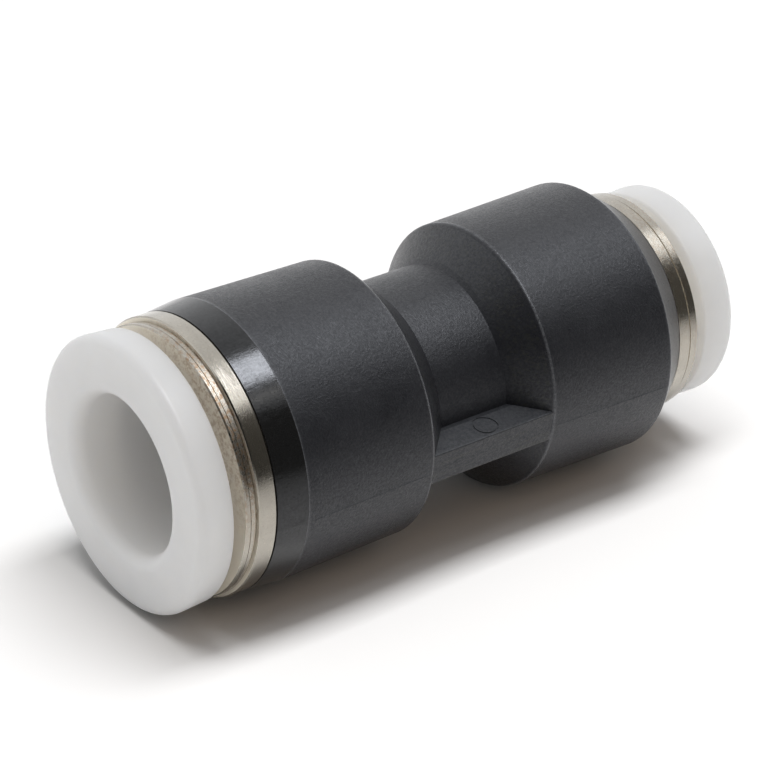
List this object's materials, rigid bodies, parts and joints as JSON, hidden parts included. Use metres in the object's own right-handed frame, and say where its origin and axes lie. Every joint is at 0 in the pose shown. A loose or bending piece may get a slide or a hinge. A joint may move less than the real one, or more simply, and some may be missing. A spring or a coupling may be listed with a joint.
{
  "type": "push-in reducing tube union",
  "caption": "Straight push-in reducing union for plastic tube: dark ribbed body, plated guide rings and white release sleeves that press in to free the tube.",
  "frame": {"origin": "centre of the large release sleeve's front face, on which the union stands", "axes": "+Z along the tube axis from the large port to the small port; the two ribs of the waist lie along +X and -X; -Y is the side with the ejector pin marks"},
  "size_m": [0.0176, 0.0176, 0.0414],
  "materials": {
    "body_plastic": "spark-eroded grain, dark grey",
    "sleeve_plastic": "smooth, white and slightly translucent",
    "plated_brass": "turned and nickel plated",
    "spring_steel": "pressed strip, bright",
    "inner_plastic": "plain moulded",
    "seal_rubber": "black nitrile rubber, slightly greased"
  },
  "bodies": {
    "body": {"union_body": "body_plastic", "large_guide_ring": "plated_brass", "large_backing_ring": "inner_plastic", "large_lip_seal": "seal_rubber", "small_guide_ring": "plated_brass", "small_backing_ring": "inner_plastic", "small_lip_seal": "seal_rubber"},
    "large_claw": {"large_lock_claw": "spring_steel"},
    "large_sleeve": {"large_release_sleeve": "sleeve_plastic"},
    "small_claw": {"small_lock_claw": "spring_steel"},
    "small_sleeve": {"small_release_sleeve": "sleeve_plastic"}
  },
  "joints": [
    {"name": "large_claw_spin", "type": "hinge", "parent": "body", "child": "large_claw", "pos_m": [0, 0, 0.0097], "axis": [0, 0, 1], "continuous": true},
    {"name": "large_sleeve_press", "type": "slide", "parent": "large_claw", "child": "large_sleeve", "axis": [0, 0, 1], "range_m": [0, 0.0008], "stiffness_N_per_m": 5000},
    {"name": "small_claw_spin", "type": "hinge", "parent": "body", "child": "small_claw", "pos_m": [0, 0, 0.03179], "axis": [0, 0, 1], "continuous": true},
    {"name": "small_sleeve_press", "type": "slide", "parent": "small_claw", "child": "small_sleeve", "axis": [0, 0, -1], "range_m": [0, 0.0008], "stiffness_N_per_m": 5000}
  ]
}
